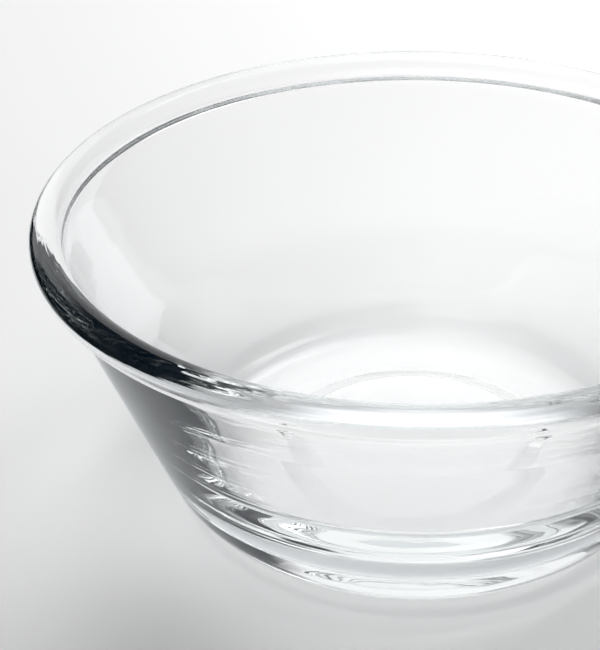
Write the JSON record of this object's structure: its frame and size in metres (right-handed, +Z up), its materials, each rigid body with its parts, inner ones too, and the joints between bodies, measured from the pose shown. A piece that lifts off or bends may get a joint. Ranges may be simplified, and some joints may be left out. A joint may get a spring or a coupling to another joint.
{
  "type": "prep bowl",
  "caption": "Small clear glass prep bowl with a thick rolled rim, a flared wall that thickens downwards, a round heel and a shallow hollow under its thick floor.",
  "frame": {"origin": "centre of the ring that the bowl stands on, at the height of the table", "axes": "+Z up along the bowl's axis of revolution, out of its mouth; X and Y level, and alike because the bowl is round"},
  "size_m": [0.12, 0.12, 0.0508],
  "materials": {
    "clear_glass": "clear fire-polished pressed soda-lime glass with a faint green-blue tint in its thick edges"
  },
  "bodies": {
    "root": {"bowl": "clear_glass"}
  },
  "joints": []
}
